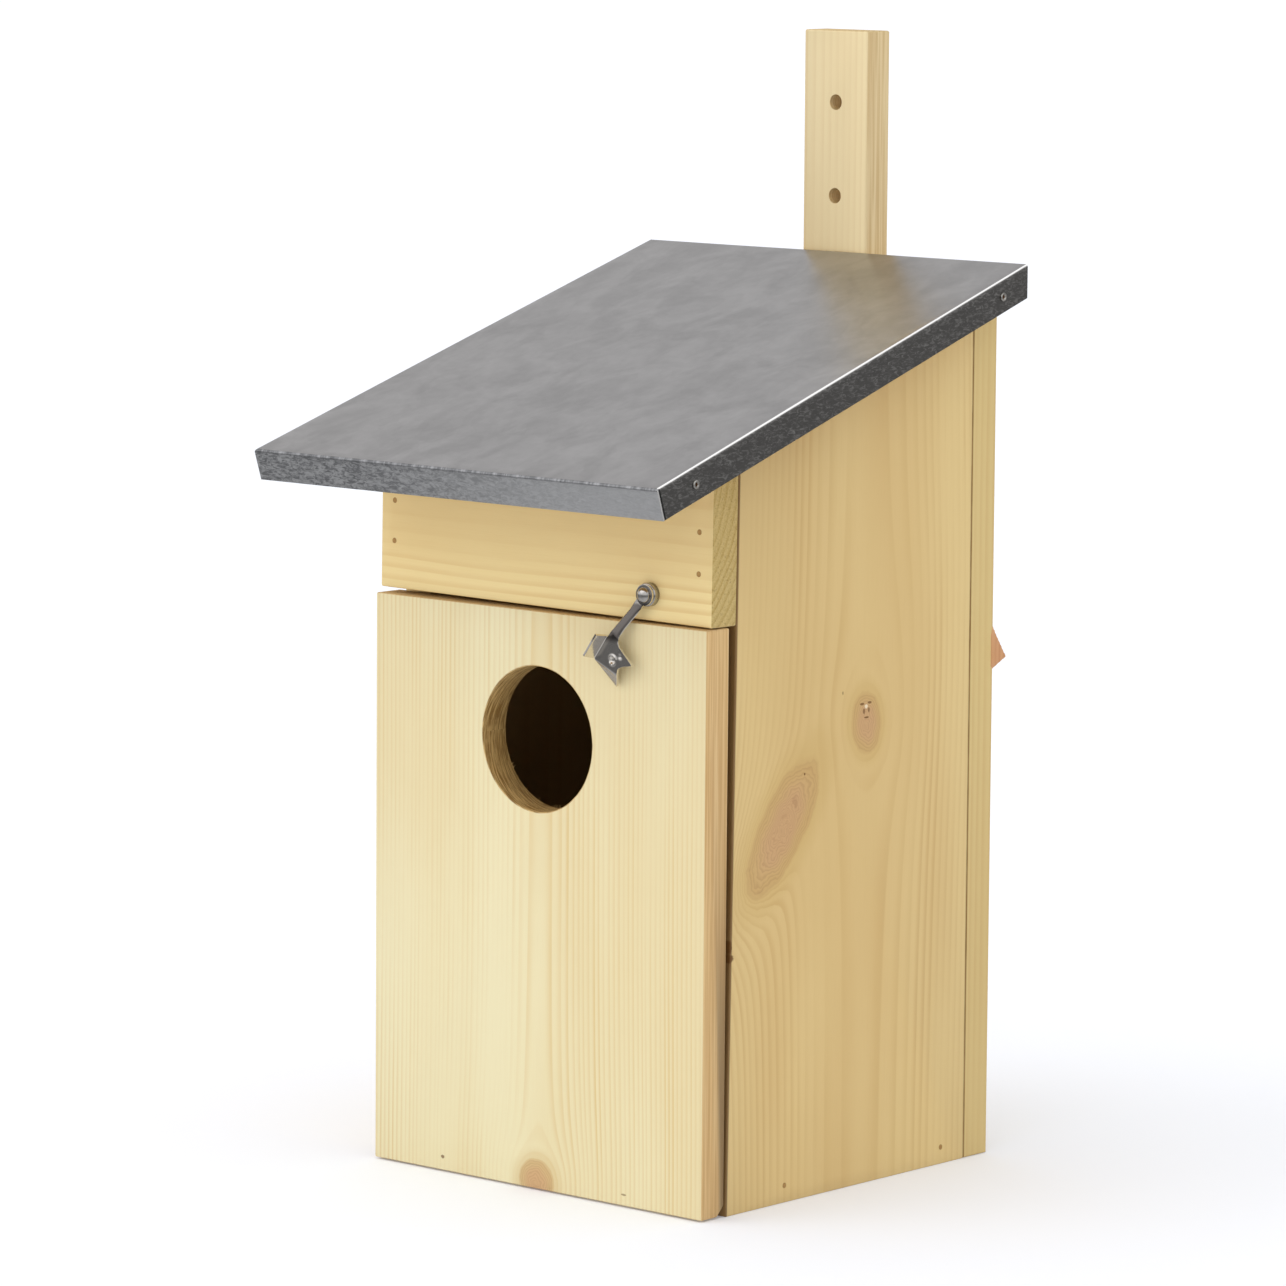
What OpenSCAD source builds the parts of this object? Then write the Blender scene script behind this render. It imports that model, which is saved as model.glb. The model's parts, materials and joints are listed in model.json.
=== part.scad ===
// Front-opening nest box: five pine boards and a rail, a metal-clad pitched roof, a hanging
// batten up the back, and a hinged door held shut by a turning latch on the rail above it.
// X is across the house, Y runs from front to back, Z is up from the surface it stands on.

/* [Walls] */
// Width of the house across its side boards
body_w = 151; // [120:1:190]
// Depth of the side boards along their bottom edge
side_d = 128.6; // [105:0.1:165]
// Thickness of the side boards
side_t = 12; // [9:0.5:16]
// Thickness of the back board
back_t = 12.8; // [9:0.1:18]
// Thickness of the floor board
floor_t = 12; // [11.5:0.5:18]
// How far the front edges of the side boards lean back, in degrees
front_lean = 0.9; // [0:0.1:1.5]

/* [Door] */
// Height of the door
door_h = 199.3; // [150:0.1:245]
// Thickness of the door
door_t = 11.7; // [9:0.1:15]
// Height of the door's bottom edge above the surface the house stands on
door_lift = 0.6; // [0.4:0.1:2]
// Angle by which the door stands open at rest, in degrees
door_ajar = 0.74; // [0.5:0.01:1]
// Width of the bevel that lets the door's bottom edge turn under the floor
door_bevel = 4; // [3.8:0.1:5]
// Diameter of the entrance hole
hole_d = 50; // [26:1:60]
// Distance from the door's top edge down to the middle of the entrance hole
hole_down = 43.8; // [36:0.1:60]

/* [Rail above the door] */
// Thickness of the rail
rail_t = 12.5; // [10:0.1:15]
// Height of the rail at the middle of its front face
rail_h = 54.2; // [46:0.1:75]
// Gap between the door and the rail at the right end, where it is least
rail_gap = 0.45; // [0.45:0.05:3]
// Slope of the rail's bottom edge, in degrees
rail_skew = 0.5; // [0:0.1:1]

/* [Roof] */
// Pitch of the roof, in degrees
roof_slope = 17.9; // [8:0.1:26]
// How far the roof stands out beyond each side board, along its front edge
roof_side_out = 16; // [11:0.5:40]
// Overhang of the roof in front of the side boards' bottom corner
roof_overhang = 55.6; // [40:0.1:80]
// Gap between the roof's back edge and the batten
roof_back_gap = 1.8; // [0.5:0.1:5]
// How far the roof's left edge comes in towards the back
taper_left = 8; // [0:0.1:9]
// How far the roof's right edge comes in towards the back
taper_right = 1.4; // [0:0.1:9]
// Thickness of the roof board
roof_t = 10.5; // [8:0.1:16]
// Thickness of the metal sheet
sheet_t = 0.6; // [0.5:0.1:1]
// How far the sheet's folded edges reach below the roof board
flange_drop = 0.1; // [0:0.1:3]

/* [Hanging batten] */
// Width of the batten
batten_w = 28.8; // [20:0.1:45]
// Thickness of the batten
batten_t = 11.9; // [9:0.1:16]
// How far the batten stands up above the roof's back edge
batten_rise = 77.8; // [65:0.1:110]
// Height of the batten's bottom end
batten_foot = 30; // [0:1:80]
// How far the batten sits to the right of the middle
batten_x = 2; // [-10:0.1:10]
// Diameter of the hanging holes
hang_d = 5.5; // [4:0.1:8]
// Distance between the hanging holes
hang_pitch = 33; // [20:1:40]
// Distance from the batten's top end to the upper hanging hole
hang_down = 25.3; // [12:0.1:27]

/* [Latch] */
// Distance from the right wall's face to the latch's pivot
latch_inset = 27; // [18:0.1:70]
// Height of the pivot above the door's top edge
latch_up = 9.6; // [8:0.1:16]
// Angle of the latch at rest, from straight down towards the left, in degrees
latch_turn = 35; // [-40:1:60]
// Thickness of the latch's stamped metal
latch_t = 1; // [0.8:0.1:1.4]
// Distance from the pivot to the end of the latch
latch_reach = 32.5; // [30:0.1:38]
// Diameter of the washer under the latch
washer_d = 8; // [7:0.1:12]
// Thickness of the washer under the latch
washer_t = 2.4; // [2:0.1:3.5]

/* [Hinges] */
// Distance from the middle of the house to each hinge
hinge_x = 38.5; // [20:0.1:45]
// Width of a hinge
hinge_w = 20; // [16:0.5:24]
// Diameter of a hinge pin
hinge_pin_d = 1.4; // [1.2:0.1:1.6]
// Thickness of a hinge leaf
leaf_t = 0.8; // [0.6:0.1:0.9]

/* [Hidden] */
$fn = 48;

pine = [0.89, 0.79, 0.56];
pale_pine = [0.93, 0.84, 0.66];
zinc = [0.55, 0.56, 0.57];
steel = [0.72, 0.71, 0.68];
brass = [0.76, 0.62, 0.33];
far = 600;           // longer than anything here, for cuts that run right through

// Clearances
fit = 0.03;          // between a fastener and its hole
run = 0.05;          // between the latch or a hinge pin and what turns on it
pass = 0.35;         // between parts that move past each other

// Places that several parts share
inner_w = body_w - 2 * side_t;
roof_w = body_w + 2 * roof_side_out;
side_x = (body_w - side_t) / 2;
back_y = side_d + back_t;
rear_y = back_y + batten_t;
roof_y = -roof_overhang;
house_shift = -(roof_y + rear_y) / 2;
door_top = door_lift + door_h;
rail_foot = door_top + rail_gap + body_w / 2 * tan(rail_skew);

// Hinges: the pins lie between the door's back and the floor's front edge
pin_r = hinge_pin_d / 2;
knuckle_r = pin_r + leaf_t;
leaf_gap = 0.35;     // from the middle of the pin to each leaf's face
leaf_h = 8.5;        // height of a leaf above the pin
leaf_proud = 0.01;   // the door's leaf stands this far out of its recess
knuckle_end = 0.1;   // an outer knuckle stops this far inside the plate's end
pin_y = -0.32;
pin_lift = 0.9;      // from the surface the house stands on up to the knuckles
pin_z = knuckle_r + pin_lift;
door_back = pin_y - leaf_gap - leaf_proud;
door_front = door_back - door_t;
floor_front = pin_y + leaf_gap + leaf_t;
door_lean = front_lean - door_ajar;
screw_pitch = hinge_w / 2;
screw_up = 3.8;      // from the pins up to the hinge screws

// Roof: its own frame starts in the middle of the front top fold, with Y up the slope
cover = sheet_t + roof_t;
flange_h = cover + flange_drop;
roof_run = back_y - roof_back_gap - roof_y;
roof_len = roof_run / cos(roof_slope);
rail_top = rail_foot + rail_h;
rail_top_y = rail_top * tan(front_lean) - rail_t;
roof_z = rail_top + cover / cos(roof_slope) - (rail_top_y - roof_y) * tan(roof_slope);
batten_top = roof_z + roof_run * tan(roof_slope) + batten_rise;

// Height of the roof board's underside at a place along Y
function under_z(y) = roof_z + (y - roof_y) * tan(roof_slope) - cover / cos(roof_slope);
// Height at which a side board's leaning front edge meets that underside
front_top = under_z(0) / (1 - tan(front_lean) * tan(roof_slope));

// Latch: heights above the rail's face, outwards, and lengths from the pivot, along the arm.
// Its lip lies just over the door's face, which stands proud of the rail's.
latch_x = body_w / 2 - latch_inset;
latch_z = door_top + latch_up;
lip_z = latch_z - latch_reach * cos(latch_turn);
rail_face_y = lip_z * tan(front_lean) - rail_t / cos(front_lean);
door_face_y = pin_y + (lip_z - pin_z) * tan(door_lean) + (door_front - pin_y) / cos(door_lean);
lip_gap = 0.7;       // between the lip and the door's face
lip_rise = 3.3;      // from the lip up to the head
lip_len = 4.5;
lip_low = rail_face_y - door_face_y + lip_gap;
arm_w = 3.5;
arm_low = washer_t + run;
arm_high = lip_low + lip_rise;
head_seat = arm_low + latch_t + run;
eye_r = 3.6;
tab_h = 4;
tab_lean = 15;       // the thumb tab leans outwards from the head by this angle
tab_len = 11.5;
washer_edge = 0.6;   // height of the washer's beveled rim
// The head's right-hand outline: across from the arm's middle, and back from the lip's bend
head_outline = [[9.6, -lip_len], [8.9, 1.2], [8.1, 2.4], [9.6, 5], [12.2, 7.6],
                [4.2, 8.8], [2.05, 11.6]];

// Fasteners: shank radius, length, head radius and head height
brad = [0.7, 28, 0.95, 0.8];
flange_nail = [0.9, 14, 1.7, 0.7];
wood_screw = [1.75, 21, 3.4, 2.4];
hinge_screw = [0.9, 11.2, 1.6, leaf_t];
pivot_screw = [1.5, 11, 3.1, 1.9];   // its length is the part in the rail
// Where they go: shares of the side's depth, of the walls' height and of the roof's length,
// and heights above the rail's bottom edge
floor_nail_y = [0.24, 0.9];
back_nail_z = [0.15, 0.5, 0.85];
rail_nail_z = [17, 31];
roof_nail_y = [0.36, 0.6, 0.84];
sheet_nail_y = [0.09, 0.92];
batten_screw_z = [0.2, 0.5, 0.8];

// ---- Helpers ----

// Everything is drawn with the side boards' bottom front corner at Y = 0, then centred
module house() { translate([0, house_shift, 0]) children(); }
// Leans a thing back with the front edges of the side boards
module leaning() { rotate([-front_lean, 0, 0]) children(); }
// Turns a thing drawn upright about the hinge pins, to the door's place at rest
module on_door() {
    translate([0, pin_y, pin_z]) rotate([-door_lean, 0, 0]) translate([0, -pin_y, -pin_z])
        children();
}
module on_roof() { translate([0, roof_y, roof_z]) rotate([roof_slope, 0, 0]) children(); }
// On the rail's face at the latch's pivot: Z up, Y inwards, turned as the latch is
module on_latch(turn) {
    leaning() translate([latch_x, -rail_t, latch_z]) rotate([0, turn, 0]) children();
}

// Extrudes a shape drawn in Y and Z across the house, centred on X
module across(w) {
    rotate([90, 0, 90]) translate([0, 0, -w / 2]) linear_extrude(height = w) children();
}

// A nail along -Z whose flat head is sunk flush with Z = 0; slack makes it into its hole
module sunk_nail(size, slack = 0) {
    translate([0, 0, -size[1] - slack]) cylinder(r = size[0] + slack, h = size[1] + slack);
    translate([0, 0, -size[3] - slack]) cylinder(r = size[2] + slack, h = size[3] + slack);
}
// A nail along -Z whose head stands on Z = 0
module headed_nail(size) {
    translate([0, 0, -size[1]]) cylinder(r = size[0], h = size[1]);
    cylinder(r = size[2], h = size[3]);
}
// A countersunk screw along -Z, its head flush with Z = 0
module sunk_screw(size, slack = 0) {
    translate([0, 0, -size[1] - slack]) cylinder(r = size[0] + slack, h = size[1] + slack);
    translate([0, 0, -size[3] - slack])
        cylinder(r1 = size[0] + slack, r2 = size[2] + slack, h = size[3] + slack);
}
// A shank alone along -Z, for holes
module shank(size, slack) {
    translate([0, 0, -size[1] - slack]) cylinder(r = size[0] + slack, h = size[1] + 2 * slack);
}

// ---- Where the fasteners go ----

module floor_nails_at() {
    for (s = [-1, 1], y = floor_nail_y)
        translate([s * body_w / 2, y * side_d, floor_t / 2]) rotate([0, s * 90, 0]) children();
}
module back_nails_at() {
    for (s = [-1, 1], z = back_nail_z)
        translate([s * side_x, back_y, z * under_z(side_d)]) rotate([-90, 0, 0]) children();
    for (s = [-1, 1])
        translate([s * inner_w / 4, back_y, floor_t / 2]) rotate([-90, 0, 0]) children();
}
module rail_nails_at() {
    leaning() for (s = [-1, 1], z = rail_nail_z)
        translate([s * side_x, -rail_t, rail_foot + z]) rotate([90, 0, 0]) children();
}
module roof_nails_at() {
    on_roof() for (s = [-1, 1], y = roof_nail_y)
        translate([s * side_x, y * roof_len, -sheet_t]) children();
}
module sheet_nails_at() {
    for (side = [[1, taper_right], [-1, taper_left]], y = sheet_nail_y)
        on_roof() translate([side[0] * roof_w / 2, 0, 0])
            rotate([0, 0, side[0] * atan(side[1] / roof_len)])
            translate([0, y * roof_len, -sheet_t - roof_t / 2]) rotate([0, side[0] * 90, 0])
            children();
}
module batten_screws_at() {
    for (z = batten_screw_z)
        translate([batten_x, rear_y, batten_foot + z * (under_z(side_d) - batten_foot)])
            rotate([-90, 0, 0]) children();
}
// The hinge screws of both hinges, on the leaf face at a place along Y, facing one way
module hinge_screws_at(y, way) {
    for (s = [-1, 1], t = [-1, 1])
        translate([s * hinge_x + t * screw_pitch / 2, y, pin_z + screw_up])
            rotate([way * 90, 0, 0]) children();
}

// ---- Boards ----

module side_board(s) {
    difference() {
        translate([s * side_x, 0, 0]) across(side_t) polygon([
            [0, 0], [side_d, 0], [side_d, under_z(side_d)],
            [front_top * tan(front_lean), front_top]
        ]);
        floor_nails_at() sunk_nail(brad, fit);
        back_nails_at() sunk_nail(brad, fit);
        rail_nails_at() sunk_nail(brad, fit);
        roof_nails_at() sunk_nail(brad, fit);
    }
}
module left_side() { color(pine) house() side_board(-1); }
module right_side() { color(pine) house() side_board(1); }

module back_board() {
    color(pine) house() difference() {
        across(body_w) polygon([
            [side_d, 0], [back_y, 0], [back_y, under_z(back_y)], [side_d, under_z(side_d)]
        ]);
        back_nails_at() sunk_nail(brad, fit);
        batten_screws_at() sunk_screw(wood_screw, fit);
    }
}

// The floor lies between the side boards, its front edge beveled under the hinges
module floor_board() {
    color(pine) house() difference() {
        across(inner_w) polygon([
            [floor_front + door_bevel, 0], [side_d, 0], [side_d, floor_t],
            [floor_front, floor_t], [floor_front, door_bevel]
        ]);
        floor_nails_at() sunk_nail(brad, fit);
        back_nails_at() sunk_nail(brad, fit);
        hinge_screws_at(pin_y + leaf_gap, 1) sunk_screw(hinge_screw, fit);
    }
}

// The rail is nailed over the side boards' front edges, its top beveled to the roof
module front_rail() {
    color(pine) house() difference() {
        intersection() {
            leaning() translate([-body_w / 2, -rail_t, 0]) cube([body_w, rail_t, far]);
            across(body_w) polygon([
                [-far / 10, 0], [far / 10, 0], [far / 10, under_z(far / 10)],
                [-far / 10, under_z(-far / 10)]
            ]);
        }
        leaning() translate([0, 0, rail_foot]) rotate([0, rail_skew, 0])
            translate([-far / 2, -far / 2, -far]) cube(far);
        rail_nails_at() sunk_nail(brad, fit);
        on_latch(0) rotate([90, 0, 0]) shank(pivot_screw, fit);
    }
}

// The door covers the side boards' front edges; its hinge leaves are let into its back
module door_panel() {
    color(pale_pine) house() on_door() difference() {
        across(body_w) polygon([
            [door_front, door_lift], [door_back - door_bevel, door_lift],
            [door_back, door_lift + door_bevel], [door_back, door_top], [door_front, door_top]
        ]);
        translate([0, door_back + 1, door_top - hole_down]) rotate([90, 0, 0])
            cylinder(d = hole_d, h = door_t + 2, $fn = 96);
        for (s = [-1, 1])
            translate([s * hinge_x - hinge_w / 2 - fit, pin_y - leaf_gap - leaf_t, 0])
                cube([hinge_w + 2 * fit, leaf_t + 1, pin_z + leaf_h + fit]);
        hinge_screws_at(pin_y - leaf_gap, -1) sunk_screw(hinge_screw, fit);
    }
}

// ---- Roof ----

// The roof's outline seen square on, moved in by inset, and running past its back edge
function roof_side(s, taper, inset, y) = [s * (roof_w / 2 - inset - taper * y / roof_len), y];
function roof_plan(inset) = [
    roof_side(-1, taper_left, inset, inset), roof_side(1, taper_right, inset, inset),
    roof_side(1, taper_right, inset, roof_len + 10 + inset),
    roof_side(-1, taper_left, inset, roof_len + 10 + inset)
];
// Cuts the back edge plumb
module behind_roof() {
    translate([-far / 2, back_y - roof_back_gap, 0]) cube(far);
}

module roof_board() {
    color(pine) house() difference() {
        on_roof() translate([0, 0, -cover]) linear_extrude(height = roof_t)
            polygon(roof_plan(sheet_t));
        behind_roof();
        roof_nails_at() sunk_nail(brad, fit);
        sheet_nails_at() shank(flange_nail, fit);
    }
}

// Thin sheet laid over the board and folded down at the front and both sides
module roof_sheet() {
    color(zinc) house() difference() {
        on_roof() difference() {
            translate([0, 0, -flange_h]) linear_extrude(height = flange_h)
                polygon(roof_plan(0));
            translate([0, 0, -flange_h - 1]) linear_extrude(height = flange_h + 1 - sheet_t)
                polygon(roof_plan(sheet_t));
        }
        behind_roof();
        sheet_nails_at() shank(flange_nail, fit);
    }
}

module hanging_batten() {
    color(pine) house() difference() {
        translate([batten_x - batten_w / 2, back_y, batten_foot])
            cube([batten_w, batten_t, batten_top - batten_foot]);
        for (z = [0, hang_pitch])
            translate([batten_x, rear_y + 1, batten_top - hang_down - z]) rotate([90, 0, 0])
                cylinder(d = hang_d, h = batten_t + 2);
        batten_screws_at() sunk_screw(wood_screw, fit);
    }
}

// ---- Nails and screws ----

module floor_nails() { color(steel) house() floor_nails_at() sunk_nail(brad); }
module back_nails() { color(steel) house() back_nails_at() sunk_nail(brad); }
module rail_nails() { color(steel) house() rail_nails_at() sunk_nail(brad); }
module roof_nails() { color(steel) house() roof_nails_at() sunk_nail(brad); }
module sheet_nails() { color(steel) house() sheet_nails_at() headed_nail(flange_nail); }
module batten_screws() { color(steel) house() batten_screws_at() sunk_screw(wood_screw); }
module hinge_floor_screws() {
    color(brass) house() hinge_screws_at(pin_y + leaf_gap, 1) sunk_screw(hinge_screw);
}
module hinge_door_screws() {
    color(brass) house() on_door() hinge_screws_at(pin_y - leaf_gap, -1) sunk_screw(hinge_screw);
}

// ---- Latch ----

module latch_washer() {
    color(steel) house() on_latch(0) rotate([90, 0, 0]) difference() {
        union() {
            cylinder(d = washer_d, h = washer_t - washer_edge);
            translate([0, 0, washer_t - washer_edge])
                cylinder(d1 = washer_d, d2 = washer_d - 2 * washer_edge, h = washer_edge);
        }
        translate([0, 0, -1]) cylinder(r = pivot_screw[0] + fit, h = washer_t + 2);
    }
}

// The screw that the latch turns on: a domed head over the arm and a shank into the rail
module latch_screw() {
    ball = (pow(pivot_screw[2], 2) + pow(pivot_screw[3], 2)) / (2 * pivot_screw[3]);
    color(steel) house() on_latch(0) rotate([90, 0, 0]) {
        translate([0, 0, -pivot_screw[1]])
            cylinder(r = pivot_screw[0], h = pivot_screw[1] + head_seat);
        intersection() {
            translate([0, 0, head_seat + pivot_screw[3] - ball]) sphere(r = ball);
            translate([0, 0, head_seat]) cylinder(r = pivot_screw[2], h = pivot_screw[3]);
        }
    }
}

// Stamped arm: seen square on it is an eye, a neck and a flared head; seen from the side it
// rises clear of the door and its lip comes back to it. The thumb tab stands out at the left.
module latch_arm() {
    neck = arm_w / 2;
    bend = latch_reach - lip_len;
    rise = pivot_screw[2] + pass;
    color(steel) house() on_latch(latch_turn) difference() {
        union() {
            intersection() {
                translate([0, far / 20, 0]) rotate([90, 0, 0]) linear_extrude(height = far / 10) {
                    circle(r = eye_r);
                    polygon([
                        [-neck, 0], [-neck, -latch_reach],
                        for (p = head_outline) [p[0], p[1] - bend],
                        [neck, 0]
                    ]);
                }
                across(far / 10) polygon([
                    [-arm_low, eye_r + 1], [-arm_low, -rise - 0.4], [-arm_high, 11 - bend],
                    [-arm_high, -bend], [-lip_low, -latch_reach],
                    [-lip_low - latch_t, -latch_reach - 1], [-arm_high - latch_t, -bend - 0.4],
                    [-arm_high - latch_t, 11.4 - bend], [-arm_low - latch_t, -rise],
                    [-arm_low - latch_t, eye_r + 1]
                ]);
            }
            translate([-neck, -arm_high - latch_t, -bend - 0.5]) rotate([0, 0, -tab_lean])
                translate([0, -tab_h, 0]) cube([latch_t * 0.8, tab_h + latch_t / 2, tab_len]);
            translate([5, -arm_high - latch_t + 0.1, 3.4 - bend]) rotate([90, 0, 0])
                cylinder(r1 = 1.7, r2 = 1.2, h = 0.5);
        }
        rotate([90, 0, 0]) cylinder(r = pivot_screw[0] + run, h = far / 10);
    }
}

// ---- Hinges ----

// Knuckles and plate of one leaf. The middle knuckle belongs to the door's leaf, the outer
// two to the floor's, and each plate is notched to let the other leaf's knuckles turn.
module hinge_leaf(way, middle) {
    third = hinge_w / 3;
    plate_y = way > 0 ? pin_y + leaf_gap : pin_y - leaf_gap - leaf_t;
    outer = (hinge_w - third) / 2;
    difference() {
        union() {
            difference() {
                translate([-hinge_w / 2, plate_y, pin_z]) cube([hinge_w, leaf_t, leaf_h]);
                for (x = middle ? [-hinge_w / 2 - 1, third / 2 - pass] : [-third / 2])
                    translate([x, plate_y - 1, pin_z - 1])
                        cube([middle ? outer + 1 + pass : third, leaf_t + 2, knuckle_r + pass + 1]);
            }
            for (x = middle ? [0] : [-1, 1])
                translate([x * (third + outer) / 2, pin_y, pin_z])
                    rotate([0, 90, 0])
                    cylinder(
                        r = knuckle_r, center = true,
                        h = middle ? third - 2 * pass : outer - 2 * knuckle_end
                    );
        }
        translate([0, pin_y, pin_z]) rotate([0, 90, 0])
            cylinder(r = pin_r + (middle ? run : fit), h = far, center = true);
    }
}
module floor_leaf(s) {
    color(brass) house() difference() {
        translate([s * hinge_x, 0, 0]) hinge_leaf(1, false);
        hinge_screws_at(pin_y + leaf_gap, 1) sunk_screw(hinge_screw, fit);
    }
}
module door_leaf(s) {
    color(brass) house() on_door() difference() {
        translate([s * hinge_x, 0, 0]) hinge_leaf(-1, true);
        hinge_screws_at(pin_y - leaf_gap, -1) sunk_screw(hinge_screw, fit);
    }
}
module hinge_pin(s) {
    color(steel) house() translate([s * hinge_x, pin_y, pin_z]) rotate([0, 90, 0])
        cylinder(r = pin_r, h = hinge_w, center = true);
}
module left_floor_leaf() { floor_leaf(-1); }
module left_door_leaf() { door_leaf(-1); }
module left_hinge_pin() { hinge_pin(-1); }
module right_floor_leaf() { floor_leaf(1); }
module right_door_leaf() { door_leaf(1); }
module right_hinge_pin() { hinge_pin(1); }

left_side();
right_side();
back_board();
floor_board();
front_rail();
door_panel();
roof_board();
roof_sheet();
hanging_batten();
floor_nails();
back_nails();
rail_nails();
roof_nails();
sheet_nails();
batten_screws();
latch_washer();
latch_arm();
latch_screw();
left_floor_leaf();
left_door_leaf();
left_hinge_pin();
right_floor_leaf();
right_door_leaf();
right_hinge_pin();
hinge_floor_screws();
hinge_door_screws();
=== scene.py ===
"""Front-opening nest box: pine boards, a hinged door with a round entrance, a stamped turning
latch, a roof clad in galvanised sheet and a hanging batten, drawn around its CAD model."""
import json
import math

import bmesh
import bpy
import numpy as np
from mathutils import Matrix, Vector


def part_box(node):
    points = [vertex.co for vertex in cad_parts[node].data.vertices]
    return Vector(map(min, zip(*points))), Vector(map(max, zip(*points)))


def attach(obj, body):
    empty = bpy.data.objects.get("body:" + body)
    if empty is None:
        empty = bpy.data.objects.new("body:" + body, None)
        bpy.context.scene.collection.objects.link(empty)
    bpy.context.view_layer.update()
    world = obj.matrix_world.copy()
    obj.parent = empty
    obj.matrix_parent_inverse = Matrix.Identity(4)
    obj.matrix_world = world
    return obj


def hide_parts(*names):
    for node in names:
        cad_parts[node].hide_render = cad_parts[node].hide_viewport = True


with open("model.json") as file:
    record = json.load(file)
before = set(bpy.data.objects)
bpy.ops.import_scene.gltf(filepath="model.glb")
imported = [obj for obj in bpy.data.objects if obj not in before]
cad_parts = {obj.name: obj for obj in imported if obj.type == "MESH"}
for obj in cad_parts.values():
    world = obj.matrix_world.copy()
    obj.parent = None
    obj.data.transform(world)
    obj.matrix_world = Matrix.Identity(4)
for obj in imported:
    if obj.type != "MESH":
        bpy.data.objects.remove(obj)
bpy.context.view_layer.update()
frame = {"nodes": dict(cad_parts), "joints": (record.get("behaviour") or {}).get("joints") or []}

# ---- Side boards ----
# Two planed pine boards stand on either side of the floor, the grain upright and their tops cut
# to the roof's pitch. The right one has two sound knots, and a chip out of its front edge.
# They are sawn, planed and nailed, with their long edges eased by hand.
MM = 0.001
ARRIS = 0.55 * MM        # how far a board's edges are rounded


def srgb(red, green, blue):
    """A colour as a paint chart gives it, 0 to 255, made linear for a material: a share of up to
    0.04045 is divided by 12.92, and a larger one is ((share + 0.055) / 1.055) to the 2.4."""
    part = np.array([red, green, blue]) / 255
    line = np.where(part <= 0.04045, part / 12.92, ((part + 0.055) / 1.055) ** 2.4)
    return (*line.tolist(), 1.0)


class Amount:
    """A number known at each point of a finish. + - * / and the rest join it to others."""

    def __init__(self, tree, socket):
        self.tree, self.socket = tree, socket

    def join(self, operation, *others):
        """This number and the others put through one operation of a maths node."""
        node = self.tree.nodes.new("ShaderNodeMath")
        node.operation = operation
        for slot, value in zip(node.inputs, (self, *others)):
            if isinstance(value, Amount):
                self.tree.links.new(value.socket, slot)
            else:
                slot.default_value = value
        return Amount(self.tree, node.outputs[0])

    def __add__(self, other): return self.join("ADD", other)
    def __sub__(self, other): return self.join("SUBTRACT", other)
    def __mul__(self, other): return self.join("MULTIPLY", other)
    def __truediv__(self, other): return self.join("DIVIDE", other)

    def step(self, low, high):
        """0 below low, 1 above high and smooth between them; the other way round if low > high."""
        node = self.tree.nodes.new("ShaderNodeMapRange")
        node.interpolation_type = "SMOOTHSTEP"
        turned = low > high
        values = (high, low, 1.0, 0.0) if turned else (low, high, 0.0, 1.0)
        for slot, value in zip(node.inputs[1:5], values):
            slot.default_value = value
        self.tree.links.new(self.socket, node.inputs[0])
        return Amount(self.tree, node.outputs[0])


class Finish:
    """A material being put together. Places are read in millimetres in the row frame at rest."""

    def __init__(self, name, metal=0.0, gloss=0.5):
        self.material = bpy.data.materials.new(name)
        self.material.use_nodes = True
        self.tree = self.material.node_tree
        self.shader = self.tree.nodes["Principled BSDF"]
        self.shader.inputs["Metallic"].default_value = metal
        self.shader.inputs["Specular IOR Level"].default_value = gloss

    def node(self, kind, **settings):
        made = self.tree.nodes.new(kind)
        for key, value in settings.items():
            setattr(made, key, value)
        return made

    def put(self, slot, value):
        if isinstance(value, Amount):
            value = value.socket
        if isinstance(value, bpy.types.NodeSocket):
            self.tree.links.new(value, slot)
        else:
            slot.default_value = value

    def place(self, order="XYZ", reading="Object"):
        """The place's three coordinates in mm, or the normal's three, in the order asked for."""
        where = self.node("ShaderNodeTexCoord").outputs[reading]
        apart = self.node("ShaderNodeSeparateXYZ")
        self.put(apart.inputs[0], where)
        unit = 1 / MM if reading == "Object" else 1
        return [Amount(self.tree, apart.outputs[axis]) * unit for axis in order]

    def point(self, across, through, along, scale=(1, 1, 1)):
        """Three numbers as one place, each multiplied by its scale."""
        together = self.node("ShaderNodeCombineXYZ")
        for slot, part, s in zip(together.inputs, (across, through, along), scale):
            self.put(slot, part * s if isinstance(part, Amount) else part)
        return together.outputs[0]

    def noise(self, where, detail=2.0, rough=0.5, warp=0.0):
        """Cloudy noise between 0 and 1, whose lumps are about one unit of where across."""
        node = self.node("ShaderNodeTexNoise")
        for key, value in (("Vector", where), ("Scale", 1.0), ("Detail", detail),
                           ("Roughness", rough), ("Distortion", warp)):
            self.put(node.inputs[key], value)
        return Amount(self.tree, node.outputs["Fac"])

    def cells(self, where, scale):
        """One number for each cell of an uneven net, whose cells are 1 / scale across."""
        node = self.node("ShaderNodeTexVoronoi", feature="F1")
        self.put(node.inputs["Vector"], where)
        self.put(node.inputs["Scale"], scale)
        return Amount(self.tree, node.outputs["Color"])

    def blend(self, share, low, high):
        """low where share is 0 and high where it is 1, as colours."""
        node = self.node("ShaderNodeMix", data_type="RGBA")
        self.put(node.inputs[0], share)
        self.put(node.inputs[6], low)
        self.put(node.inputs[7], high)
        return node.outputs[2]

    def done(self, colour, rough, height=None, depth=0.1):
        """Joins the colour, the roughness and the height of the relief, depth mm deep."""
        self.put(self.shader.inputs["Base Color"], colour)
        self.put(self.shader.inputs["Roughness"], rough)
        if height is not None:
            bump = self.node("ShaderNodeBump")
            bump.inputs["Strength"].default_value = 1.0
            bump.inputs["Distance"].default_value = depth * MM
            self.put(bump.inputs["Height"], height)
            self.put(self.shader.inputs["Normal"], bump.outputs[0])
        return self.material


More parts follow.
